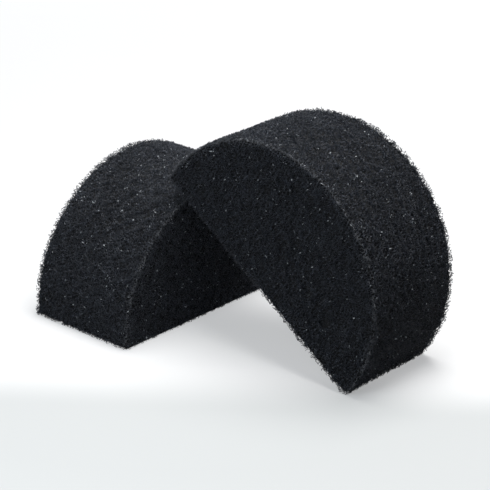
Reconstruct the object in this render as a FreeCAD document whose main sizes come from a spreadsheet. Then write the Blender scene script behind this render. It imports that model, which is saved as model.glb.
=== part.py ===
"""A pair of half-round foam filter pads, one standing on its flat face and one leaning on it.

The two pads are cut alike from one block of open-cell foam.  Each is a little more than half
of a thick disc, so it has one flat rectangular face, one curved face and two D-shaped faces.

Frame: millimetres, +Z up.  The origin is the centre of the standing pad's flat face, which is
on the ground.  That face runs along Y, and the standing pad's thickness runs along X.  The
leaning pad is on the +X side.  Its lower corner is on the ground, and near its upper corner
its flat face rests on the top of the standing pad's D-shaped edge.
"""
import FreeCAD, Part
import os

import Sketcher

# Driving dimensions in millimetres: alias, value, what it is.
SIZES = [
    ("pad_radius", 90.0, "radius of the curved face"),
    ("pad_height", 95.5, "from the flat face to the top of the curved face"),
    ("pad_thickness", 80.0, "between the two D-shaped faces"),
    ("corner_round", 2.0, "radius of the corners where the flat face meets the curved one"),
    ("tip_overlap", 10.5, "from the leaning pad's upper corner back to where it rests"),
    ("side_shift", -2.2, "place of the leaning pad's middle along Y"),
    ("rest_gap", 0.3, "clearance where the leaning pad rests on the standing one"),
]

# Values that follow from the driving ones, in millimetres and degrees: name, expression, what.
WORKED = [
    (
        "axis_rise",
        "Sizes.pad_height - Sizes.pad_radius",
        "height of the curved face's axis above the flat face",
    ),
    (
        "half_chord",
        "sqrt(Sizes.pad_radius^2 - axis_rise^2)",
        "from the middle of the flat face to its corner, before rounding",
    ),
    (
        "corner_axis",
        "sqrt((Sizes.pad_radius - Sizes.corner_round)^2 - (axis_rise - Sizes.corner_round)^2)",
        "from the middle of the flat face to the axis of a corner's round",
    ),
    (
        "lean_run",
        "corner_axis + half_chord - Sizes.tip_overlap",
        "along the flat face, from the lower corner's axis to the point of rest",
    ),
    (
        "lean_drop",
        "Sizes.corner_round + Sizes.rest_gap",
        "square to the flat face, from the lower corner's axis to the point of rest",
    ),
    (
        "lean_angle",
        "(asin((Sizes.pad_height - Sizes.corner_round) / sqrt(lean_run^2 + lean_drop^2))"
        " + atan(lean_drop / lean_run)) / 1deg",
        "slope of the leaning pad's flat face",
    ),
    (
        "lean_height",
        "Sizes.corner_round * (1 - cos(lean_angle * 1deg)) + corner_axis * sin(lean_angle * 1deg)",
        "height of the middle of the leaning pad's flat face",
    ),
    (
        "lean_distance",
        "Sizes.pad_thickness / 2 + (Sizes.rest_gap"
        " + (Sizes.pad_height - lean_height) * cos(lean_angle * 1deg)) / sin(lean_angle * 1deg)",
        "place of the middle of the leaning pad's flat face along X",
    ),
]


# How a sketch's constraints name a point of a curve, and the sketch's own axes.
START = 1
END = 2
CENTRE = 3
X_AXIS = -1
Y_AXIS = -2

PARTS_FOLDER = "parts"


def add_sizes(doc):
    """Put the driving dimensions in the document's spreadsheet."""
    sheet = doc.addObject("Spreadsheet::Sheet", "Sizes")
    for row, (alias, value, meaning) in enumerate(SIZES, start=1):
        sheet.set(f"A{row}", alias)
        sheet.set(f"B{row}", str(value))
        sheet.set(f"C{row}", meaning)
        sheet.setAlias(f"B{row}", alias)
    doc.recompute()


def add_worked_values(doc):
    """Work out what follows from the driving dimensions, as live expressions."""
    worked = doc.addObject("App::VarSet", "Worked")
    for name, expression, meaning in WORKED:
        worked.addProperty("App::PropertyFloat", name, "Worked", meaning)
        worked.setExpression(name, expression)
        doc.recompute()
    return worked


def draw_outline(body, worked):
    """Sketch the D-shaped outline: its flat side on the X axis, its arc above."""
    left = FreeCAD.Vector(-worked.half_chord, 0, 0)
    right = FreeCAD.Vector(worked.half_chord, 0, 0)
    top = FreeCAD.Vector(0, worked.axis_rise + worked.half_chord, 0)

    sketch = body.newObject("Sketcher::SketchObject", f"{body.Name}_outline")
    planes = body.Origin.OriginFeatures
    upright = next(plane for plane in planes if plane.Role == "XZ_Plane")
    sketch.AttachmentSupport = (upright, [""])
    sketch.MapMode = "FlatFace"
    flat = sketch.addGeometry(Part.LineSegment(left, right))
    arc = sketch.addGeometry(Part.Arc(right, top, left))

    def tie(*what):
        return sketch.addConstraint(Sketcher.Constraint(*what))

    tie("PointOnObject", flat, START, X_AXIS)
    tie("PointOnObject", flat, END, X_AXIS)
    tie("Coincident", flat, END, arc, START)
    tie("Coincident", flat, START, arc, END)
    tie("PointOnObject", arc, CENTRE, Y_AXIS)
    radius = tie("Radius", arc, worked.half_chord)
    rise = tie("DistanceY", X_AXIS, START, arc, CENTRE, worked.axis_rise)
    sketch.setExpression(f"Constraints[{radius}]", "Sizes.pad_radius")
    sketch.setExpression(f"Constraints[{rise}]", "Worked.axis_rise")
    return sketch


def corner_edges(shape):
    """Name the two straight edges where the flat face meets the curved one."""
    names = []
    for number, edge in enumerate(shape.Edges, start=1):
        along = edge.lastVertex().Point - edge.firstVertex().Point
        straight = isinstance(edge.Curve, Part.Line)
        if straight and abs(along.y) > abs(along.x):
            names.append(f"Edge{number}")
    return names


def build_pad(doc, name, worked):
    """Build one pad, lying as drawn: the flat face on XY, the thickness along Y."""
    body = doc.addObject("PartDesign::Body", name)
    body.Label = name

    block = body.newObject("PartDesign::Pad", f"{name}_block")
    block.Profile = draw_outline(body, worked)
    block.SideType = "Symmetric"
    block.setExpression("Length", "Sizes.pad_thickness")
    doc.recompute()

    rounded = body.newObject("PartDesign::Fillet", f"{name}_corners")
    rounded.Base = (block, corner_edges(block.Shape))
    rounded.setExpression("Radius", "Sizes.corner_round")
    body.Tip = rounded
    doc.recompute()
    return body


def stand_pad(pad):
    """Turn the standing pad so that its flat face runs along Y."""
    quarter_turn = FreeCAD.Rotation(FreeCAD.Vector(0, 0, 1), 90)
    pad.Placement = FreeCAD.Placement(FreeCAD.Vector(0, 0, 0), quarter_turn)


def lean_pad(pad, worked):
    """Tip the leaning pad about Y, so that it is on the ground and on the standing pad."""
    tipped = FreeCAD.Rotation(FreeCAD.Vector(0, 1, 0), worked.lean_angle)
    pad.Placement = FreeCAD.Placement(FreeCAD.Vector(0, 0, 0), tipped)
    pad.setExpression("Placement.Rotation.Angle", "Worked.lean_angle")
    pad.setExpression("Placement.Base.x", "Worked.lean_distance")
    pad.setExpression("Placement.Base.y", "Sizes.side_shift")
    pad.setExpression("Placement.Base.z", "Worked.lean_height")


def check(doc, pads):
    """Stop if anything in the document failed or a pad isn't a sound solid."""
    failed = [item.Label for item in doc.Objects if {"Invalid", "Error"} & set(item.State)]
    if failed:
        raise RuntimeError(f"failed objects: {failed}")
    for pad in pads:
        if pad.Shape.isNull() or not pad.Shape.isValid() or len(pad.Shape.Solids) != 1:
            raise RuntimeError(f"{pad.Label} isn't one sound solid")


def main():
    """Build the document and write each pad's solid."""
    doc = FreeCAD.newDocument("filter_pads")
    add_sizes(doc)
    worked = add_worked_values(doc)

    standing_pad = build_pad(doc, "standing_pad", worked)
    stand_pad(standing_pad)
    leaning_pad = build_pad(doc, "leaning_pad", worked)
    lean_pad(leaning_pad, worked)
    doc.recompute()

    pads = [standing_pad, leaning_pad]
    check(doc, pads)
    os.makedirs(PARTS_FOLDER, exist_ok=True)
    for pad in pads:
        pad.Shape.exportStep(f"{PARTS_FOLDER}/{pad.Label}.step")
        box = pad.Shape.BoundBox
        print(pad.Label, f"volume {pad.Shape.Volume:.0f} mm3", box)


main()
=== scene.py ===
"""Two half-round pads of black open-cell filter foam, one standing and one leaning on it.

The frame gives each pad's plain solid.  Here each pad is made as the real foam is: a web of
fine struts that follow the edges of packed cells, cut to the pad's shape, over a darker heart
that stands for the cells further in; its near-black colour is painted shade.  All lengths are
in metres.
"""
import itertools
import logging
import math
from dataclasses import dataclass, replace
from enum import Enum

import bpy
import numpy as np
from mathutils import Matrix, Vector


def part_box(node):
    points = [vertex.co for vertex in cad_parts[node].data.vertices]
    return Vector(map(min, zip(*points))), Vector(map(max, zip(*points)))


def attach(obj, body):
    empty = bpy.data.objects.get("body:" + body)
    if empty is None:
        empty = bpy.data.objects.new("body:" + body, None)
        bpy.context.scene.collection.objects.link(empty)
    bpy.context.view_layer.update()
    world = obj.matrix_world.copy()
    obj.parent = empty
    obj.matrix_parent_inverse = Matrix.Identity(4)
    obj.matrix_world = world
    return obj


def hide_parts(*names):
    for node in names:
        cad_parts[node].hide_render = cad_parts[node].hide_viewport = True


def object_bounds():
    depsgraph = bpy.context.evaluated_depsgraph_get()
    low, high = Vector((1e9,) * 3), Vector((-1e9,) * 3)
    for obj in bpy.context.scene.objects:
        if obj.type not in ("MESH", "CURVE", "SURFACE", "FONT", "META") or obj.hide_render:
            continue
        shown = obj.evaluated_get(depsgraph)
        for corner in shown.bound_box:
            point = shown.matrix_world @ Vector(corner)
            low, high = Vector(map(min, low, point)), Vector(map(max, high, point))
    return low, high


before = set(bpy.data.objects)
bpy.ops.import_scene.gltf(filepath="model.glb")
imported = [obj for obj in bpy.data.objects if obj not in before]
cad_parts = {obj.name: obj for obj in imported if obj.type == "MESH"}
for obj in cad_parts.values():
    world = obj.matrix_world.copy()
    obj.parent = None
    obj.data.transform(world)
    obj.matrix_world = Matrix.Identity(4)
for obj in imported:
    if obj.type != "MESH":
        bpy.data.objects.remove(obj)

CAD_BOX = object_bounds()
BAKE_MAP = "OFBake"
# Per point, how near a strut is to a cut edge; the struts there are painted paler as painted
# edge light.
EDGE_LIGHT_LAYER = "edge_light_nearness"
MM = 0.001

log = logging.getLogger("foam_pads")


# ---------------------------------------------------------------------------------------
# Shapes and places of the pads
# ---------------------------------------------------------------------------------------


class PadFace(Enum):
    """The faces of a half-round pad, in the order that distances to them are given."""

    CURVE = 0
    FLAT = 1
    LEFT_SIDE = 2
    RIGHT_SIDE = 3


@dataclass(frozen=True)
class PadShape:
    """A half-round pad lying as it was cut: flat face on z = 0, thickness along y.

    Attributes:
        radius: radius of the curved face.
        height: from the flat face to the top of the curved one.
        thickness: between the two D-shaped sides.
        edge_round: how far the cut edges are blunted.
        sunk: how far the flat face is let down below z = 0.
    """

    radius: float
    height: float
    thickness: float
    edge_round: float = 1.1 * MM
    sunk: float = 0.0

    @property
    def axis_rise(self) -> float:
        """Height of the curved face's axis above the flat face."""
        return self.height - self.radius

    def swollen(self, by: float, sunk: float) -> "PadShape":
        """Give the shape with its curved face and sides moved out and its flat face let down.

        Args:
            by: how far the curved face and the sides move out.
            sunk: how far the flat face is let down.

        Returns:
            The larger shape.
        """
        return replace(
            self,
            radius=self.radius + by,
            height=self.height + by,
            thickness=self.thickness + 2 * by,
            sunk=sunk,
        )

    def face_distances(self, points: np.ndarray) -> np.ndarray:
        """Give each point's distance outside each face, in the order of PadFace.

        Args:
            points: places in the pad's own frame, one a row.

        Returns:
            One row per point and one column per face; negative is inside.
        """
        x, y, z = points.T
        curve = np.hypot(x, z - self.axis_rise) - self.radius
        half = self.thickness / 2
        return np.stack([curve, -z - self.sunk, y - half, -y - half], 1)

    def distance(self, points: np.ndarray) -> np.ndarray:
        """Give each point's distance outside the pad with its blunted edges.

        Args:
            points: places in the pad's own frame, one a row.

        Returns:
            One distance per point, negative inside.
        """
        faces = self.face_distances(points)
        sides = np.maximum(faces[:, 2], faces[:, 3])
        near = np.stack([faces[:, 0], faces[:, 1], sides], 1) + self.edge_round
        outside = np.linalg.norm(np.maximum(near, 0), axis=1)
        inside = np.minimum(near.max(1), 0)
        return outside + inside - self.edge_round

    def outward(self, points: np.ndarray) -> np.ndarray:
        """Give the direction straight out of the pad at each point.

        Args:
            points: places in the pad's own frame, one a row.

        Returns:
            One unit vector per point.
        """
        step = 0.05 * MM
        here = self.distance(points)
        slopes = [self.distance(points + step * axis) - here for axis in np.eye(3)]
        ways = np.stack(slopes, 1)
        return ways / np.maximum(np.linalg.norm(ways, axis=1), 1e-12)[:, None]

    def outline(self, count: int, inset: float) -> np.ndarray:
        """Walk once round the D-shaped outline at even steps.

        Args:
            count: how many points to give.
            inset: how far inside the pad's surface the outline runs.

        Returns:
            One row of x and z per point.
        """
        radius = self.radius - inset
        dip = math.asin((self.axis_rise + self.sunk - inset) / radius)
        arc = radius * (math.pi + 2 * dip)
        half_chord = radius * math.cos(dip)
        along = np.arange(count) / count * (arc + 2 * half_chord)
        angle = np.minimum(along, arc) / radius - dip
        x = radius * np.cos(angle) + np.maximum(along - arc, 0)
        z = self.axis_rise + radius * np.sin(angle)
        return np.stack([x, z], 1)


@dataclass(frozen=True)
class PadPlace:
    """A pad's shape and where the frame has it.

    Attributes:
        node: the frame's name for the pad.
        body: the body that it rides on.
        shape: its shape, in its own frame.
        matrix: from its own frame to the frame's.
    """

    node: str
    body: str
    shape: PadShape
    matrix: Matrix

    def placed(self, points: np.ndarray) -> np.ndarray:
        """Move points from the pad's own frame to the frame's.

        Args:
            points: places in the pad's own frame, one a row.

        Returns:
            The same places in the frame.
        """
        move = np.array(self.matrix, float)
        return points @ move[:3, :3].T + move[:3, 3]

    def below_floor(self, points: np.ndarray) -> np.ndarray:
        """Give how far each point of the pad's own frame lies below the floor."""
        return -self.placed(points)[:, 2]


def standing_place(node: str, body: str) -> PadPlace:
    """Read the standing pad's shape and place from its box.

    Args:
        node: the frame's name for the pad.
        body: the body that it rides on.

    Returns:
        The pad, turned a quarter about Z.
    """
    low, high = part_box(node)
    size = high - low
    middle = (low + high) / 2
    shape = PadShape(radius=size.y / 2, height=size.z, thickness=size.x)
    move = Matrix.Translation((middle.x, middle.y, low.z))
    return PadPlace(node, body, shape, move @ Matrix.Rotation(math.pi / 2, 4, "Z"))


def leaning_place(node: str, body: str, shape: PadShape) -> PadPlace:
    """Work out the leaning pad's tilt from its box, as it is cut like its twin.

    Args:
        node: the frame's name for the pad.
        body: the body that it rides on.
        shape: the shape that both pads have.

    Returns:
        The pad, tipped about Y.
    """
    corner_round = 2.0 * MM
    low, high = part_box(node)
    axis_x = high.x - shape.radius
    axis_z = high.z - shape.radius
    reach = shape.radius - corner_round
    below = math.asin((shape.axis_rise - corner_round) / reach)
    tilt = math.asin((axis_z - low.z - corner_round) / reach) - below
    middle = Vector(
        (
            axis_x - shape.axis_rise * math.sin(tilt),
            (low.y + high.y) / 2,
            axis_z - shape.axis_rise * math.cos(tilt),
        )
    )
    move = Matrix.Translation(middle)
    return PadPlace(node, body, shape, move @ Matrix.Rotation(tilt, 4, "Y"))


# ---------------------------------------------------------------------------------------
# Random fields
# ---------------------------------------------------------------------------------------


@dataclass(frozen=True)
class Ripple:
    """A smooth random field: waves of about one length, running all ways.

    Attributes:
        length: the waves' mean length.
        height: the field's typical size.
        seed: which field of that kind it is.
        waves: how many waves are added up.
    """

    length: float
    height: float
    seed: int
    waves: int = 9

    def at(self, points: np.ndarray) -> np.ndarray:
        """Give the field's value at each point.

        Args:
            points: places, one a row.

        Returns:
            One value per point.
        """
        draw = np.random.default_rng(self.seed)
        ways = draw.normal(size=(self.waves, 3))
        ways /= np.linalg.norm(ways, axis=1)[:, None]
        ways *= 2 * math.pi / self.length * draw.uniform(0.7, 1.4, (self.waves, 1))
        starts = draw.uniform(0, 2 * math.pi, self.waves)
        total = np.sin(points @ ways.T + starts).sum(1)
        return self.height * math.sqrt(2 / self.waves) * total


@dataclass(frozen=True)
class Hollows:
    """A random field of round hollows, one about each of a set of scattered seeds.

    Attributes:
        spacing: mean spacing of the hollows.
        seed: which scatter it is.
        breadth: the square of a hollow's radius in spacings.
    """

    spacing: float
    seed: int
    breadth: float = 0.55

    def at(self, points: np.ndarray) -> np.ndarray:
        """Give how deep in a hollow each point lies.

        Args:
            points: places, one a row.

        Returns:
            One value per point, from 0 between hollows to 1 at a hollow's middle.
        """
        block = np.floor(points / self.spacing).astype(np.int64)
        block -= block.min(0) - 1
        draw = np.random.default_rng(self.seed)
        seeds = draw.uniform(0.1, 0.9, (*(block.max(0) + 2), 3))
        within = points / self.spacing - np.floor(points / self.spacing)
        nearest = np.full(len(points), np.inf)
        for step in np.ndindex(3, 3, 3):
            shift = np.array(step) - 1
            seed = seeds[tuple((block + shift).T)] + shift
            nearest = np.minimum(nearest, ((within - seed) ** 2).sum(1))
        return np.clip(1 - nearest / self.breadth, 0, 1)


# ---------------------------------------------------------------------------------------
# The foam's web of struts
# ---------------------------------------------------------------------------------------

# A corner of the web is a small four-sided solid, with one face for each strut that meets
# there.  Face k is the one without point k, wound so that it looks outward.  Its points lie
# the reach from its middle, in half thicknesses of a strut, and sizes differ from corner to
# corner by the two shares.  A cut strut keeps at least the given share of its length and
# loses at least as much.  The last two numbers are added to a packing's seed, for the random
# draws that choose the torn struts and the corners' sizes.
CORNER_FACES = np.array([(1, 2, 3), (0, 3, 2), (0, 1, 3), (0, 2, 1)])
CORNER_REACH = 1.35
CORNER_SIZES = (0.8, 1.25)
LEAST_CUT = 0.04
TORN_DRAW = 7
SIZE_DRAW = 8


@dataclass(frozen=True)
class CellPacking:
    """Fourteen-sided cells packed as in soap foam, made uneven by a drift and a jitter.

    Attributes:
        cell: spacing of the cells that lie in line.
        drift: how far the packing is pushed about, as a share of a cell.
        jitter: how far each corner strays by itself, as a share of a cell.
        seed: which packing of that kind it is.
        drift_length: the drift's length from wave to wave, in cells.
    """

    cell: float
    drift: float
    jitter: float
    seed: int
    drift_length: float = 3.4

    def slant(self) -> np.ndarray:
        """Turn the packing so that its rows line up with none of a pad's faces.

        Returns:
            The turn, as a matrix.
        """
        draw = np.random.default_rng(self.seed)
        turn, _ = np.linalg.qr(draw.normal(size=(3, 3)))
        return turn * np.sign(np.linalg.det(turn))

    @staticmethod
    def corner_kinds() -> tuple[np.ndarray, np.ndarray]:
        """List the corners of one block of the packing, in quarters of a cell.

        Returns:
            Each corner's place, and the steps to the four corners that it is joined to.
        """
        places, steps = [], []
        unit = np.eye(3, dtype=np.int64)
        for normal, along, across in itertools.permutations(range(3)):
            for side in (-unit[along], unit[along]):
                places.append(2 * (unit[along] + unit[across]) + side)
                over = [-side + unit[across], -side - unit[across]]
                out = [side + unit[normal], side - unit[normal]]
                steps.append(over + out)
        return np.array(places), np.array(steps)

    def blocks_near(self, shape: PadShape, depth: float) -> np.ndarray:
        """Find the blocks of the packing that lie near a pad's surface.

        Args:
            shape: the pad.
            depth: how far in from the surface the struts go.

        Returns:
            The blocks' whole-number places, one a row.
        """
        turn = self.slant()
        half = shape.thickness / 2
        ends = [(-shape.radius, shape.radius), (-half, half), (0, shape.height)]
        far = np.array(np.meshgrid(*ends)).reshape(3, -1).T @ turn / self.cell
        low, high = np.floor(far.min(0)) - 2, np.ceil(far.max(0)) + 2
        spans = [np.arange(a, b) for a, b in zip(low, high)]
        blocks = np.stack(np.meshgrid(*spans, indexing="ij"), -1).reshape(-1, 3)
        away = shape.distance((blocks + 0.5) @ turn.T * self.cell)
        margin = (1.0 + 2 * self.drift) * self.cell
        return blocks[(away < margin) & (away > -depth - margin)].astype(np.int64)

    def strayed(self, quarters: np.ndarray) -> np.ndarray:
        """Place corners in the pad's own frame, with the packing's drift and jitter.

        Args:
            quarters: the corners' even places, in quarters of a cell.

        Returns:
            The corners' uneven places, one a row.
        """
        even = quarters @ self.slant().T * (self.cell / 4)
        seeds = range(self.seed + 1, self.seed + 4)
        length, height = self.drift_length * self.cell, self.drift * self.cell
        fields = [Ripple(length, height, seed) for seed in seeds]
        drift = np.stack([field.at(even) for field in fields], 1)
        draw = np.random.default_rng(self.seed)
        return even + drift + draw.normal(0, self.jitter * self.cell, even.shape)


@dataclass(frozen=True)
class CutSurface:
    """Where the foam ends: a little wavy, with torn cells, and flat on the floor.

    Attributes:
        place: the pad.
        shape: its shape, with the struts' ends standing proud.
        wave: the slow waviness of the cut.
        tear: the roughness of one cell beside the next.
    """

    place: PadPlace
    shape: PadShape
    wave: Ripple
    tear: Ripple

    def distance(self, points: np.ndarray) -> np.ndarray:
        """Give each point's distance outside the cut surface.

        Args:
            points: places in the pad's own frame, one a row.

        Returns:
            One distance per point, negative inside.
        """
        ragged = self.wave.at(points) + self.tear.at(points)
        away = self.shape.distance(points) + ragged
        return np.maximum(away, self.place.below_floor(points))


@dataclass(frozen=True)
class StrutWeb:
    """The foam's struts in a shell under a pad's surface, before they are made solid.

    Attributes:
        corners: each corner's four points, in the pad's own frame.
        starts: per strut, its first corner and the corner's face that it grows from.
        ends: per strut, its last corner and the corner's face that it meets.
        cuts: per strut, how far along each of its three edges it is cut; 1 is whole.
        shifts: per strut, which point of its last face goes with the first of the other.
        middles: per strut, a place near its middle.
    """

    corners: np.ndarray
    starts: np.ndarray
    ends: np.ndarray
    cuts: np.ndarray
    shifts: np.ndarray
    middles: np.ndarray


class WebMesh:
    """Turns a chosen part of a strut web into one closed mesh."""

    def __init__(self, web: StrutWeb, chosen: np.ndarray) -> None:
        """Note which corners and which of their faces the chosen struts use.

        Args:
            web: the whole pad's web.
            chosen: the struts of this piece.
        """
        self.web = web
        self.chosen = chosen
        self.cut = web.cuts[chosen].min(1) < 1
        grown = web.starts[chosen]
        met = web.ends[chosen][~self.cut]
        self.used = np.unique(np.concatenate([grown[:, 0], met[:, 0]]))
        self.open_faces = np.ones((len(self.used), 4), bool)
        for corner, face in (grown.T, met.T):
            self.open_faces[np.searchsorted(self.used, corner), face] = False

    def points_of(self, ends: np.ndarray) -> np.ndarray:
        """Number the three points of each named corner face, in this piece's own count."""
        return np.searchsorted(self.used, ends[:, :1]) * 4 + CORNER_FACES[ends[:, 1]]

    def build(self) -> tuple[np.ndarray, np.ndarray, np.ndarray]:
        """Make the piece's points and faces.

        Returns:
            The points in the pad's own frame, the four-sided faces and the triangles.
        """
        web, cut = self.web, self.cut
        corner_points = web.corners[self.used].reshape(-1, 3)
        near = self.points_of(web.starts[self.chosen])
        order = (web.shifts[self.chosen][:, None] - np.arange(3)) % 3
        far_faces = CORNER_FACES[web.ends[self.chosen][:, 1]]
        far_faces = np.take_along_axis(far_faces, order, 1)

        far_corners = web.ends[self.chosen][:, :1]
        goal = web.corners[far_corners, far_faces]
        start = corner_points[near]
        ends = start + (goal - start) * web.cuts[self.chosen][:, :, None]
        cut_points = ends[cut].reshape(-1, 3)

        far = np.empty_like(near)
        met = np.searchsorted(self.used, far_corners[~cut])
        far[~cut] = met * 4 + far_faces[~cut]
        far[cut] = len(corner_points) + np.arange(len(cut_points)).reshape(-1, 3)
        after = [1, 2, 0]
        quads = np.stack([near, near[:, after], far[:, after], far], 2).reshape(-1, 4)

        corner, face = np.nonzero(self.open_faces)
        caps = corner[:, None] * 4 + CORNER_FACES[face]
        triangles = np.concatenate([caps, far[cut]])
        return np.concatenate([corner_points, cut_points]), quads, triangles


@dataclass(frozen=True)
class Foam:
    """How open the foam is and how thick its struts are.

    Attributes:
        packing: the foam's cells.
        strut: half the thickness of a strut, as a share of a cell.
        depth: how far in from the cut the struts are made, as a share of a cell.
        torn: share of the struts at the very cut that are torn away; none are further in.
    """

    packing: CellPacking
    strut: float
    depth: float
    torn: float

    @property
    def shell(self) -> float:
        """How far in from the cut the struts are made."""
        return self.depth * self.packing.cell

    def struts_between(self, blocks: np.ndarray) -> tuple[np.ndarray, np.ndarray]:
        """Pair up the corners that a strut joins.

        Args:
            blocks: the blocks of the packing that are used, in rising order.

        Returns:
            Per strut, the corner and the corner's face at one end, and at the other.
        """
        places, steps = self.packing.corner_kinds()
        kinds, room = len(places), 2
        low = blocks.min(0) - room
        span = blocks.max(0) - low + room + 1
        weights = np.array([span[1] * span[2], span[2], 1])
        known = (blocks - low) @ weights
        first, last = [], []
        for kind, face in np.ndindex(kinds, 4):
            step = steps[kind, face]
            shift, place = np.divmod(places[kind] + step, 4)
            other = int(np.nonzero((places == place).all(1))[0][0])
            back = int(np.nonzero((steps[other] == -step).all(1))[0][0])
            if (kind, face) > (other, back):
                continue
            wanted = (blocks + shift - low) @ weights
            found = np.minimum(np.searchsorted(known, wanted), len(known) - 1)
            here = np.nonzero(known[found] == wanted)[0]
            there = found[here]
            first.append(np.stack([here * kinds + kind, np.full(len(here), face)], 1))
            last.append(np.stack([there * kinds + other, np.full(len(here), back)], 1))
        return np.concatenate(first), np.concatenate(last)

    def grow(self, shape: PadShape, cut: CutSurface) -> StrutWeb:
        """Grow the web in the shell under a pad's cut surface.

        Args:
            shape: the pad.
            cut: where the pad was cut.

        Returns:
            The pad's strut web.
        """
        blocks = self.packing.blocks_near(shape, self.shell)
        places, steps = self.packing.corner_kinds()
        quarters = (4 * blocks[:, None] + places).reshape(-1, 3)
        middles = self.packing.strayed(quarters)
        outside = cut.distance(middles)

        first, last = self.struts_between(blocks)
        swap = outside[first[:, 0]] > outside[last[:, 0]]
        first[swap], last[swap] = last[swap], first[swap]
        deep, shallow = outside[first[:, 0]], outside[last[:, 0]]
        kept = (deep < 0) & (shallow > -self.shell)
        draw = np.random.default_rng(self.packing.seed + TORN_DRAW)
        kept &= draw.random(len(kept)) > self.torn * (1 + deep / self.shell)
        first, last = first[kept], last[kept]
        kept = self.held(first[:, 0], last[:, 0], outside)
        first, last = first[kept], last[kept]

        corners = self.corner_solids(middles, steps)
        near = corners[first[:, :1], CORNER_FACES[first[:, 1]]]
        far = corners[last[:, :1], CORNER_FACES[last[:, 1]]]
        shifts, far = self.least_twist(near, far)
        cuts = np.ones((len(first), 3))
        over = outside[last[:, 0]] > 0
        cuts[over] = self.cut_shares(cut, near[over], far[over])
        centres = (middles[first[:, 0]] + middles[last[:, 0]]) / 2
        return StrutWeb(corners, first, last, cuts, shifts, centres)

    def held(self, first: np.ndarray, last: np.ndarray, outside: np.ndarray) -> np.ndarray:
        """Say which struts are joined through others to the foam further in.

        Args:
            first: each strut's deeper corner.
            last: each strut's other corner.
            outside: each corner's distance outside the cut.

        Returns:
            True for each strut that hangs on to the rest.
        """
        joined = outside < -self.shell
        inner = outside[last] < 0
        before = -1
        while before != joined.sum():
            before = joined.sum()
            linked = (joined[first] | joined[last]) & inner
            joined[first[linked]] = True
            joined[last[linked]] = True
        return joined[first]

    def corner_solids(self, middles: np.ndarray, steps: np.ndarray) -> np.ndarray:
        """Make the small four-sided solid at each corner.

        Args:
            middles: the corners' places, kind by kind in each block.
            steps: the steps to the four corners that each kind is joined to.

        Returns:
            Four points per corner, each on the far side from one strut.
        """
        ways = steps @ self.packing.slant().T / math.sqrt(2)
        draw = np.random.default_rng(self.packing.seed + SIZE_DRAW)
        sizes = self.strut * self.packing.cell * draw.uniform(*CORNER_SIZES, len(middles))
        spread = np.tile(ways, (len(middles) // len(ways), 1, 1))
        return middles[:, None] - spread * sizes[:, None, None] * CORNER_REACH

    @staticmethod
    def least_twist(near: np.ndarray, far: np.ndarray) -> tuple[np.ndarray, np.ndarray]:
        """Match the points at a strut's two ends so that it twists least.

        Args:
            near: three points at the first end of each strut.
            far: three points at the other end.

        Returns:
            Each strut's shift, and its far points in the order of the near ones.
        """
        orders = (np.arange(3)[:, None] - np.arange(3)) % 3
        tries = far[:, orders]
        twist = ((tries - near[:, None]) ** 2).sum((2, 3))
        shifts = twist.argmin(1)
        return shifts, tries[np.arange(len(near)), shifts]

    @staticmethod
    def cut_shares(cut: CutSurface, near: np.ndarray, far: np.ndarray) -> np.ndarray:
        """Find how far along each of its edges a strut meets the cut.

        Args:
            cut: where the pad was cut.
            near: three points at the inner end of each strut.
            far: the three points that they run to.

        Returns:
            Three shares per strut.
        """
        inner = cut.distance(near.reshape(-1, 3)).reshape(-1, 3)
        outer = cut.distance(far.reshape(-1, 3)).reshape(-1, 3)
        shares = inner / np.minimum(inner - outer, -1e-9)
        return np.clip(shares, LEAST_CUT, 1 - LEAST_CUT)


def make_mesh(
    name: str, points: np.ndarray, quads: np.ndarray, triangles: np.ndarray
) -> bpy.types.Mesh:
    """Write points and faces into a Blender mesh.

    Args:
        name: the mesh's name.
        points: the mesh's points.
        quads: four point numbers a row.
        triangles: three point numbers a row.

    Returns:
        The mesh, shaded smooth.
    """
    mesh = bpy.data.meshes.new(name)
    sizes = np.repeat([4, 3], [len(quads), len(triangles)])
    mesh.vertices.add(len(points))
    mesh.vertices.foreach_set("co", points.astype(np.float32).ravel())
    mesh.loops.add(int(sizes.sum()))
    loops = np.concatenate([quads.ravel(), triangles.ravel()]).astype(np.int32)
    mesh.loops.foreach_set("vertex_index", loops)
    mesh.polygons.add(len(sizes))
    starts = np.concatenate([[0], np.cumsum(sizes)[:-1]])
    mesh.polygons.foreach_set("loop_start", starts.astype(np.int32))
    mesh.polygons.foreach_set("use_smooth", np.ones(len(sizes), bool))
    mesh.update(calc_edges=True)
    return mesh


# ---------------------------------------------------------------------------------------
# Finishes
# ---------------------------------------------------------------------------------------

Colour = tuple[float, float, float, float]
Socket = bpy.types.NodeSocket

# A mix node has a set of sockets for each kind of value, so its colours go by number.
MIX_FIRST, MIX_SECOND, MIX_RESULT = 6, 7, 2


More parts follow.
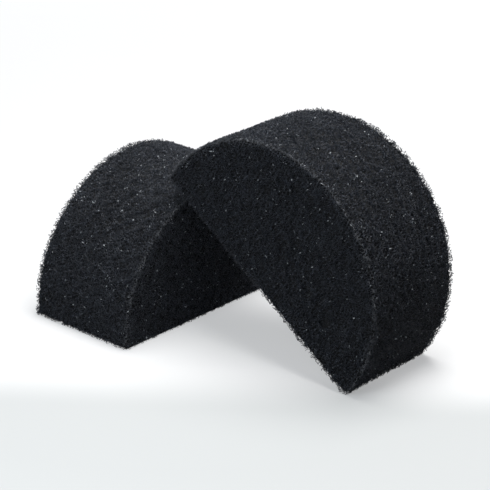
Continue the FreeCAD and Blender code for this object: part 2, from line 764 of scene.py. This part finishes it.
class NodeSheet:
    """Lays nodes on a node tree and joins them."""

    def __init__(self, tree: bpy.types.NodeTree) -> None:
        """Start with an empty tree."""
        self.tree = tree
        tree.nodes.clear()

    def feed(self, into: Socket, value: object) -> None:
        """Join an output to an input, or set the input to a plain value.

        Args:
            into: the input.
            value: the output that feeds it, or the value.
        """
        if isinstance(value, Socket):
            self.tree.links.new(value, into)
        else:
            into.default_value = value

    def node(self, kind: str, **settings: object) -> bpy.types.Node:
        """Add a node and set its options and inputs.

        Args:
            kind: the node's type.
            settings: its options by name, or its input sockets by name with spaces as "_".

        Returns:
            The node.
        """
        node = self.tree.nodes.new(kind)
        for name, value in settings.items():
            if hasattr(node, name):
                setattr(node, name, value)
            else:
                self.feed(node.inputs[name.replace("_", " ")], value)
        return node

    def math(self, operation: str, *values: object, clamp: bool = False) -> Socket:
        """Add a math node.

        Args:
            operation: what it does.
            values: its inputs in order, each an output or a number.
            clamp: whether the result is kept from 0 to 1.

        Returns:
            Its output.
        """
        node = self.node("ShaderNodeMath", operation=operation, use_clamp=clamp)
        for into, value in zip(node.inputs, values):
            self.feed(into, value)
        return node.outputs[0]

    def blend(self, share: Socket, first: object, second: object) -> Socket:
        """Mix two colours.

        Args:
            share: how far the result goes from the first to the second.
            first: a colour, or the output that gives it.
            second: the other one.

        Returns:
            The mixed colour's output.
        """
        node = self.node("ShaderNodeMix", data_type="RGBA", Factor=share)
        self.feed(node.inputs[MIX_FIRST], first)
        self.feed(node.inputs[MIX_SECOND], second)
        return node.outputs[MIX_RESULT]

    def place(self) -> Socket:
        """Give the output with the surface's place in the object's own frame."""
        return self.node("ShaderNodeTexCoord").outputs["Object"]

    def finish(self, **settings: object) -> None:
        """Put a principled surface with the given inputs on the material's output."""
        skin = self.node("ShaderNodeBsdfPrincipled", **settings)
        self.node("ShaderNodeOutputMaterial", Surface=skin.outputs["BSDF"])


def new_material(name: str) -> tuple[bpy.types.Material, NodeSheet]:
    """Make a material.

    Args:
        name: the material's name.

    Returns:
        The material, and the sheet to lay its nodes on.
    """
    made = bpy.data.materials.new(name)
    made.use_nodes = True
    return made, NodeSheet(made.node_tree)


# The tone's two noises: scale per metre, detail, and the lowest and highest value that count.
SLOW_NOISE = (34.0, 3.0, 0.3, 0.7)
FINE_NOISE = (1700.0, 2.0, 0.52, 0.72)


class FoamEffect(Enum):
    """Effects that the foam's materials share."""

    TONE = "Foam tone"
    CELLS = "Cell walls"


class EffectShelf:
    """Builds each shared effect once, as a node group, and hands it out."""

    def get(self, effect: FoamEffect) -> bpy.types.NodeTree:
        """Give an effect's node group, built at the first asking.

        Args:
            effect: which one.

        Returns:
            The group.
        """
        found = bpy.data.node_groups.get(effect.value)
        if found:
            return found
        makers = {FoamEffect.TONE: self.tone, FoamEffect.CELLS: self.cells}
        return makers[effect](bpy.data.node_groups.new(effect.value, "ShaderNodeTree"))

    @staticmethod
    def tone(group: bpy.types.NodeTree) -> bpy.types.NodeTree:
        """Colour that drifts slowly over the foam and speckles from strut to strut.

        Args:
            group: the empty group.

        Returns:
            The group, with a colour as its output.
        """
        face = group.interface
        for name in ("Deep", "Pale"):
            face.new_socket(name=name, in_out="INPUT", socket_type="NodeSocketColor")
        for name in ("Drift", "Speckle"):
            face.new_socket(name=name, in_out="INPUT", socket_type="NodeSocketFloat")
        face.new_socket(name="Color", in_out="OUTPUT", socket_type="NodeSocketColor")
        sheet = NodeSheet(group)
        given = sheet.node("NodeGroupInput").outputs
        place = sheet.place()
        parts = []
        for scale, detail, low, high in (SLOW_NOISE, FINE_NOISE):
            noise = sheet.node("ShaderNodeTexNoise", Vector=place, Scale=scale, Detail=detail)
            part = sheet.node(
                "ShaderNodeMapRange", Value=noise.outputs["Fac"], From_Min=low, From_Max=high
            )
            parts.append(part.outputs["Result"])
        drift = sheet.math("MULTIPLY", parts[0], given["Drift"])
        both = sheet.math("MULTIPLY_ADD", parts[1], given["Speckle"], drift, clamp=True)
        colour = sheet.blend(both, given["Deep"], given["Pale"])
        sheet.node("NodeGroupOutput", Color=colour)
        return group

    @staticmethod
    def cells(group: bpy.types.NodeTree) -> bpy.types.NodeTree:
        """Mask of the walls between cells: 1 on a wall and 0 inside a cell.

        Args:
            group: the empty group.

        Returns:
            The group, with a mask as its output.
        """
        face = group.interface
        for name in ("Scale", "Wall"):
            face.new_socket(name=name, in_out="INPUT", socket_type="NodeSocketFloat")
        face.new_socket(name="Mask", in_out="OUTPUT", socket_type="NodeSocketFloat")
        sheet = NodeSheet(group)
        given = sheet.node("NodeGroupInput").outputs
        cells = sheet.node(
            "ShaderNodeTexVoronoi",
            feature="DISTANCE_TO_EDGE",
            Vector=sheet.place(),
            Scale=given["Scale"],
        )
        wall = sheet.node(
            "ShaderNodeMapRange",
            Value=cells.outputs["Distance"],
            From_Max=given["Wall"],
            To_Min=1.0,
            To_Max=0.0,
        )
        sheet.node("NodeGroupOutput", Mask=wall.outputs["Result"])
        return group


@dataclass(frozen=True)
class StrutFinish:
    """Black foam struts: dark and smooth enough to shine, with painted glints and painted
    edge light.

    Attributes:
        deep: the usual colour.
        pale: the colour of the palest specks.
        drift: how much the colour drifts.
        speckle: how much it speckles.
        painted_glint: the colour of the few bright flecks, painted glints.
        painted_glint_share: share of the places for a fleck that have one.
        painted_glint_size: spacing of those places.
        painted_edge_light: the paler colour of the struts along the cut edges, painted edge
            light.
        edge_light_share: how far the edges' colour goes towards it.
        roughness: how dull the struts are.
        specular: how strongly they shine.
    """

    deep: Colour = (0.0038, 0.0054, 0.0092, 1.0)
    pale: Colour = (0.1450, 0.1640, 0.2080, 1.0)
    drift: float = 0.04
    speckle: float = 0.9
    painted_glint: Colour = (0.60, 0.64, 0.68, 1.0)
    painted_glint_share: float = 0.006
    painted_glint_size: float = 0.9 * MM
    painted_edge_light: Colour = (0.1900, 0.1960, 0.2100, 1.0)
    edge_light_share: float = 0.95
    roughness: float = 0.42
    specular: float = 0.35

    def material(self, shelf: EffectShelf) -> bpy.types.Material:
        """Build the struts' material.

        Args:
            shelf: where the shared effects are kept.

        Returns:
            The material.
        """
        made, sheet = new_material("foam_strut")
        tone = sheet.node(
            "ShaderNodeGroup",
            node_tree=shelf.get(FoamEffect.TONE),
            Deep=self.deep,
            Pale=self.pale,
            Drift=self.drift,
            Speckle=self.speckle,
        )
        # Struts near the cut edges are painted paler: painted light for the bright rim where
        # the edges catch light.
        edge_light_share = sheet.node("ShaderNodeAttribute", attribute_name=EDGE_LIGHT_LAYER).outputs["Fac"]
        painted_edge_light = sheet.node("ShaderNodeMapRange", Value=edge_light_share, To_Max=self.edge_light_share)
        edged = sheet.blend(painted_edge_light.outputs["Result"], tone.outputs["Color"], self.painted_edge_light)
        # A few bright flecks in the base colour: painted glints that stand for highlights off
        # the struts.
        flecks = sheet.node(
            "ShaderNodeTexVoronoi", Vector=sheet.place(), Scale=1 / self.painted_glint_size
        )
        parts = sheet.node("ShaderNodeSeparateColor", Color=flecks.outputs["Color"])
        chosen = sheet.math("LESS_THAN", parts.outputs["Red"], self.painted_glint_share)
        sheet.finish(
            Base_Color=sheet.blend(chosen, edged, self.painted_glint),
            Roughness=self.roughness,
            Specular_IOR_Level=self.specular,
        )
        return made


@dataclass(frozen=True)
class HeartFinish:
    """The cells further in: black foam made near black as painted shade, with their walls
    just showing.

    Attributes:
        hollow: colour inside a cell, painted shade.
        wall: colour of the palest walls.
        cell: spacing of the cells.
        width: width of a wall, as a share of a cell.
        shade: the darkest walls' colour, as a share of the palest walls'.
        drift: how much the walls' colour drifts.
        speckle: how much it speckles.
        roughness: how dull the foam is.
        specular: how strongly it shines.
    """

    hollow: Colour = (0.0012, 0.0013, 0.0016, 1.0)
    wall: Colour = (0.0150, 0.0160, 0.0190, 1.0)
    cell: float = 1.5 * MM
    width: float = 0.22
    shade: float = 0.6
    drift: float = 0.6
    speckle: float = 0.4
    roughness: float = 0.8
    specular: float = 0.2

    def material(self, shelf: EffectShelf) -> bpy.types.Material:
        """Build the heart's material.

        Args:
            shelf: where the shared effects are kept.

        Returns:
            The material.
        """
        made, sheet = new_material("foam_heart")
        cells = sheet.node(
            "ShaderNodeGroup",
            node_tree=shelf.get(FoamEffect.CELLS),
            Scale=1 / self.cell,
            Wall=self.width,
        )
        tone = sheet.node(
            "ShaderNodeGroup",
            node_tree=shelf.get(FoamEffect.TONE),
            Deep=[self.shade * part for part in self.wall],
            Pale=self.wall,
            Drift=self.drift,
            Speckle=self.speckle,
        )
        # The foam is black; the near-black hollows and darker walls add painted shade of the
        # cells further in.
        sheet.finish(
            Base_Color=sheet.blend(cells.outputs["Mask"], self.hollow, tone.outputs["Color"]),
            Roughness=self.roughness,
            Specular_IOR_Level=self.specular,
        )
        return made


@dataclass(frozen=True)
class FloorFinish:
    """A plain pale floor, lit from within, that greys a little towards the front.

    Attributes:
        turn: the line of sight's turn about Z, in degrees from the front.
        front: colour at the front.
        back: colour from the object to the back.
        front_edge: where the front colour ends, along the line of sight.
        back_edge: where the back colour is full.
        near_glow: strength of the light from within, near the object.
        far_glow: its strength far away, where the lamps don't reach.
        near: how far the near strength goes.
        far: how far away the far strength is full.
        cast: share of the light from within that falls on other things.
        roughness: how dull the floor is.
        specular: how strongly it shines.
    """

    turn: float
    front: Colour = (0.292, 0.300, 0.302, 1.0)
    back: Colour = (0.410, 0.412, 0.416, 1.0)
    front_edge: float = -0.175
    back_edge: float = -0.115
    near_glow: float = 0.96
    far_glow: float = 2.85
    near: float = 0.25
    far: float = 1.8
    cast: float = 0.2
    roughness: float = 0.7
    specular: float = 0.1

    def material(self) -> bpy.types.Material:
        """Build the floor's material.

        Returns:
            The material.
        """
        made, sheet = new_material("pale_floor")
        place = sheet.place()
        turn = (0, 0, -math.radians(self.turn))
        turned = sheet.node("ShaderNodeMapping", Vector=place, Rotation=turn)
        parts = sheet.node("ShaderNodeSeparateXYZ", Vector=turned.outputs["Vector"])
        share = sheet.node(
            "ShaderNodeMapRange",
            interpolation_type="SMOOTHSTEP",
            Value=parts.outputs["Y"],
            From_Min=self.front_edge,
            From_Max=self.back_edge,
        )
        colour = sheet.blend(share.outputs["Result"], self.front, self.back)
        away = sheet.node("ShaderNodeVectorMath", operation="LENGTH")
        sheet.feed(away.inputs[0], place)
        glow = sheet.node(
            "ShaderNodeMapRange",
            Value=away.outputs["Value"],
            From_Min=self.near,
            From_Max=self.far,
            To_Min=self.near_glow,
            To_Max=self.far_glow,
        )
        seen = sheet.node("ShaderNodeLightPath").outputs["Is Camera Ray"]
        cast = sheet.node("ShaderNodeMapRange", Value=seen, To_Min=self.cast)
        sheet.finish(
            Base_Color=colour,
            Roughness=self.roughness,
            Specular_IOR_Level=self.specular,
            Emission_Color=colour,
            Emission_Strength=sheet.math(
                "MULTIPLY", glow.outputs["Result"], cast.outputs["Result"]
            ),
        )
        return made


# ---------------------------------------------------------------------------------------
# The pads
# ---------------------------------------------------------------------------------------


@dataclass(frozen=True)
class HeartGrid:
    """How finely a pad's heart is meshed, and how deep it lies and is pitted.

    Attributes:
        inset: how far it lies under the cut, as a share of the struts' shell.
        around: how many points go round its outline.
        across: how many rows go from side to side, with the outermost.
        rings: how many rings each side has.
        hub: the smallest ring, as a share of the outline.
        middle: height that the rings close in on, as a share of the pad's.
        pit_depth: the deepest pit, as a share of a cell.
        pit_spacing: spacing of the pits, as a share of a cell.
    """

    inset: float = 0.92
    around: int = 420
    across: int = 72
    rings: int = 44
    hub: float = 0.02
    middle: float = 0.45
    pit_depth: float = 0.55
    pit_spacing: float = 1.15

    def rows(self, half: float) -> list[tuple[float, float]]:
        """List the rows of points from one side of the heart to the other.

        Args:
            half: half the heart's thickness.

        Returns:
            Per row, its size as a share of the outline and its place across.
        """
        rows = [(share, -half) for share in np.linspace(self.hub, 1, self.rings)]
        rows += [(1.0, y) for y in np.linspace(-half, half, self.across)[1:-1]]
        return rows + [(share, half) for share in np.linspace(1, self.hub, self.rings)]


@dataclass
class FoamPad:
    """One half-round pad: its web of struts in several pieces, and its heart.

    Attributes:
        place: the pad's shape and place.
        foam: the foam that it is cut from.
        wave: the slow waviness of its cut faces.
        tear: their roughness from one cell to the next.
        sunk: how far its flat face is let down, for the floor to cut it off level.
        proud: how far the struts' ends stand proud of the plain shape.
        edge_light_reach: how far from the cut edges their painted edge light fades.
        fill: how full the pad is; not used.
        piece_struts: the most struts that one piece may hold.
        map_skew: how far a point's depth shifts it on the bake map.
        map_margin: the margin left round the bake map.
        grid: how its heart is made.
    """

    place: PadPlace
    foam: Foam
    wave: Ripple
    tear: Ripple
    sunk: float = 0.0
    proud: float = 1.2 * MM
    edge_light_reach: float = 0.9 * MM
    fill: float = 0.9
    piece_struts: int = 27000
    map_skew: float = 0.37
    map_margin: float = 0.01
    grid: HeartGrid = HeartGrid()

    @property
    def cut_shape(self) -> PadShape:
        """The shape that the foam is cut to, a little larger than the frame's plain one."""
        return self.place.shape.swollen(self.proud, self.sunk)

    def take_on(self, mesh: bpy.types.Mesh, material: bpy.types.Material) -> bpy.types.Object:
        """Make a mesh a piece of this pad.

        Args:
            mesh: the piece's mesh, in the pad's own frame.
            material: its finish.

        Returns:
            The piece, in place and riding on the pad's body.
        """
        mesh.materials.append(material)
        mesh.transform(self.place.matrix)
        piece = bpy.data.objects.new(mesh.name, mesh)
        bpy.context.scene.collection.objects.link(piece)
        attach(piece, self.place.body)
        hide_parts(self.place.node)
        return piece

    def unroll(self, points: np.ndarray, face: PadFace) -> np.ndarray:
        """Lay a face's points out flat for the bake map.

        Args:
            points: places in the pad's own frame, one a row.
            face: the pad's face that they belong to.

        Returns:
            One row of u and v per point, each from 0 to 1 over the face.
        """
        shape = self.place.shape
        x, y, z = points.T
        skew = self.map_skew * shape.distance(points)
        if face is PadFace.CURVE:
            flat = [shape.radius * np.arctan2(z - shape.axis_rise, x), y]
        elif face is PadFace.FLAT:
            flat = [x, y]
        else:
            flat = [x, z]
        spread = np.stack([flat[0] + skew, flat[1] - skew], 1)
        spread -= spread.min(0)
        return self.map_margin + (1 - 2 * self.map_margin) * spread / spread.max(0)

    def add_edge_light(self, mesh: bpy.types.Mesh, points: np.ndarray) -> None:
        """Note on a piece how near each point is to one of the pad's cut edges.

        Args:
            mesh: the piece's mesh.
            points: its points, in the pad's own frame.
        """
        # This nearness sets the struts' painted edge light.
        faces = np.sort(self.place.shape.face_distances(points), 1)[:, -2:]
        away = np.hypot(*np.minimum(faces - self.proud, 0).T)
        layer = mesh.attributes.new(EDGE_LIGHT_LAYER, "FLOAT", "POINT")
        layer.data.foreach_set("value", np.exp(-away / self.edge_light_reach).astype(np.float32))

    def add_layers(self, mesh: bpy.types.Mesh, face: PadFace) -> None:
        """Give a piece its bake map and its nearness to the cut edges, for the painted edge
        light.

        Args:
            mesh: the piece's mesh, in the pad's own frame.
            face: the pad's face that it belongs to.
        """
        points = np.empty(len(mesh.vertices) * 3, np.float32)
        mesh.vertices.foreach_get("co", points)
        loops = np.empty(len(mesh.loops), np.int32)
        mesh.loops.foreach_get("vertex_index", loops)
        points = points.reshape(-1, 3).astype(float)
        self.add_edge_light(mesh, points)
        flat = self.unroll(points, face)
        layer = mesh.uv_layers.new(name=BAKE_MAP)
        layer.uv.foreach_set("vector", flat[loops].astype(np.float32).ravel())

    def build_web(self, material: bpy.types.Material) -> list[bpy.types.Object]:
        """Build the pad's struts, face by face and band by band.

        Args:
            material: the struts' finish.

        Returns:
            The pieces.
        """
        shape = self.cut_shape
        cut = CutSurface(self.place, shape, self.wave, self.tear)
        web = self.foam.grow(shape, cut)
        nearest = shape.face_distances(web.middles).argmax(1)
        pieces = []
        for face in PadFace:
            struts = np.nonzero(nearest == face.value)[0]
            struts = struts[np.argsort(web.middles[struts, 0], kind="stable")]
            bands = math.ceil(len(struts) / self.piece_struts)
            for number, band in enumerate(np.array_split(struts, bands), 1):
                name = f"{self.place.node}_{face.name.lower()}_{number}"
                mesh = make_mesh(name, *WebMesh(web, np.sort(band)).build())
                self.add_layers(mesh, face)
                pieces.append(self.take_on(mesh, material))
                log.info("%s: %d struts", name, len(band))
        return pieces

    def build_heart(self, material: bpy.types.Material) -> bpy.types.Object:
        """Build the pitted body under the struts.

        Args:
            material: the heart's finish.

        Returns:
            The piece.
        """
        shape, packing, grid = self.cut_shape, self.foam.packing, self.grid
        inset, around = grid.inset * self.foam.shell, grid.around
        outline = shape.outline(around, inset)
        middle = np.array([0.0, grid.middle * shape.height])
        rows = grid.rows(shape.thickness / 2 - inset)
        rings = []
        for share, y in rows:
            flat = middle + (outline - middle) * share
            rings.append(np.stack([flat[:, 0], np.full(around, y), flat[:, 1]], 1))
        points = np.concatenate(rings)
        ways = shape.outward(points)
        pits = Hollows(grid.pit_spacing * packing.cell, packing.seed)
        depth = grid.pit_depth * packing.cell * pits.at(points)
        points = points - ways * depth[:, None]
        number = np.arange(len(rows) * around).reshape(len(rows), around)
        beside = np.roll(number, -1, 1)
        quads = np.stack([number[:-1], beside[:-1], beside[1:], number[1:]], 2).reshape(-1, 4)
        ends = []
        for row, way in ((0, 1), (len(rows) - 1, -1)):
            hub = len(points)
            points = np.concatenate([points, points[number[row]].mean(0)[None]])
            fan = np.stack([number[row], np.full(around, hub), beside[row]][::way], 1)
            ends.append(fan)
        name = f"{self.place.node}_heart"
        mesh = make_mesh(name, points, quads, np.concatenate(ends))
        log.info("%s: %d faces", name, len(mesh.polygons))
        return self.take_on(mesh, material)


# ---------------------------------------------------------------------------------------
# The studio
# ---------------------------------------------------------------------------------------


@dataclass(frozen=True)
class Lamp:
    """One soft square lamp, turned to the middle of the object.

    Attributes:
        name: the lamp's name.
        place: where it hangs.
        size: the side of its square face.
        power: its power in watts.
        colour: the colour of its light.
    """

    name: str
    place: tuple[float, float, float]
    size: float
    power: float
    colour: tuple[float, float, float] = (1.0, 0.985, 0.965)

    def hang(self) -> bpy.types.Object:
        """Hang the lamp in the scene.

        Returns:
            The lamp.
        """
        light = bpy.data.lights.new(self.name, "AREA")
        light.size = self.size
        light.energy = self.power
        light.color = self.colour
        lamp = bpy.data.objects.new(self.name, light)
        lamp.location = self.place
        away = Vector(self.place) - (CAD_BOX[0] + CAD_BOX[1]) / 2
        lamp.rotation_euler = away.to_track_quat("Z", "Y").to_euler()
        bpy.context.scene.collection.objects.link(lamp)
        return lamp


@dataclass
class Studio:
    """The floor, the lights and the camera.

    Attributes:
        azimuth: the camera's turn about the object, in degrees from the front.
        elevation: its height, in degrees above level.
        roll: its lean to one side, in degrees.
        distance: from the camera to what it looks at.
        lens: its focal length, in millimetres.
        film: the width of its film, in millimetres.
        aim_shift: from the middle of the object's box to what the camera looks at.
        floor_radius: how far the floor goes.
        fill: how bright the soft light from all round is.
        fill_colour: its colour.
        wall_colour: the colour of the room's walls, as seen.
        lamps: the lamps.
    """

    azimuth: float = 39.55
    elevation: float = 22.77
    roll: float = 1.89
    distance: float = 1.315
    lens: float = 150.0
    film: float = 36.0
    aim_shift: tuple[float, float, float] = (-0.0070, -0.0129, -0.0133)
    floor_radius: float = 6.0
    fill: float = 0.29
    fill_colour: Colour = (0.88, 0.95, 1.0, 1.0)
    wall_colour: Colour = (0.90, 0.91, 0.92, 1.0)
    lamps: tuple[Lamp, ...] = (
        Lamp("top_light", (0.12, 0.09, 0.85), 0.6, 12.0),
        Lamp("front_light", (0.14, -0.50, 0.40), 0.3, 1.6, (0.90, 0.96, 1.0)),
        Lamp("back_light", (-0.85, 1.05, 0.60), 1.4, 2.0),
    )

    def lay_floor(self) -> bpy.types.Object:
        """Lay the round floor under the object.

        Returns:
            The floor.
        """
        bpy.ops.mesh.primitive_circle_add(
            vertices=96, radius=self.floor_radius, fill_type="NGON", location=(0, 0, 0)
        )
        floor = bpy.context.object
        floor.name = "floor"
        floor.data.materials.append(FloorFinish(self.azimuth).material())
        return floor

    def light_room(self) -> None:
        """Fill the room with soft light and hang the lamps."""
        room = bpy.data.worlds.new("room")
        room.use_nodes = True
        sheet = NodeSheet(room.node_tree)
        fill = sheet.node("ShaderNodeBackground", Color=self.fill_colour, Strength=self.fill)
        wall = sheet.node("ShaderNodeBackground", Color=self.wall_colour)
        seen = sheet.node("ShaderNodeLightPath").outputs["Is Camera Ray"]
        either = sheet.node("ShaderNodeMixShader", Fac=seen)
        sheet.feed(either.inputs[1], fill.outputs["Background"])
        sheet.feed(either.inputs[2], wall.outputs["Background"])
        sheet.node("ShaderNodeOutputWorld", Surface=either.outputs["Shader"])
        bpy.context.scene.world = room
        for lamp in self.lamps:
            lamp.hang()

    def set_camera(self) -> bpy.types.Object:
        """Set up the camera and make it the scene's.

        Returns:
            The camera.
        """
        turn, rise = math.radians(self.azimuth), math.radians(self.elevation)
        back = Vector(
            (
                math.sin(turn) * math.cos(rise),
                -math.cos(turn) * math.cos(rise),
                math.sin(rise),
            )
        )
        aim = (CAD_BOX[0] + CAD_BOX[1]) / 2 + Vector(self.aim_shift)
        lens = bpy.data.cameras.new("camera")
        lens.lens = self.lens
        lens.sensor_width = self.film
        camera = bpy.data.objects.new("camera", lens)
        camera.location = aim + back * self.distance
        level = back.to_track_quat("Z", "Y").to_matrix().to_4x4()
        lean = Matrix.Rotation(math.radians(self.roll), 4, "Z")
        camera.rotation_euler = (level @ lean).to_euler()
        bpy.context.scene.collection.objects.link(camera)
        bpy.context.scene.camera = camera
        return camera


# The standing pad's flat face is let down this far, so that the floor cuts its web off level.
STANDING_SUNK = 1.6 * MM


def main() -> None:
    """Build the studio and the pads, and note the sizes."""
    logging.basicConfig(level=logging.INFO, format="%(message)s")
    studio = Studio()
    studio.set_camera()
    studio.lay_floor()
    studio.light_room()
    bpy.context.scene.view_settings.view_transform = "Standard"

    shelf = EffectShelf()
    struts = StrutFinish().material(shelf)
    heart = HeartFinish().material(shelf)
    first = standing_place("standing_pad", "standing")
    second = leaning_place("leaning_pad", "leaning", first.shape)
    for seed, place, sunk in ((20, first, STANDING_SUNK), (60, second, 0.0)):
        packing = CellPacking(cell=2.3 * MM, drift=0.3, jitter=0.07, seed=seed)
        pad = FoamPad(
            place,
            Foam(packing, strut=0.064, depth=0.80, torn=0.40),
            wave=Ripple(length=40 * MM, height=0.12 * MM, seed=seed + 1),
            tear=Ripple(length=2.8 * MM, height=0.38 * MM, seed=seed + 2),
            sunk=sunk,
        )
        pad.build_heart(heart)
        pieces = pad.build_web(struts)
        log.info("%s: %d web pieces", place.node, len(pieces))


if __name__ == "__main__":
    main()
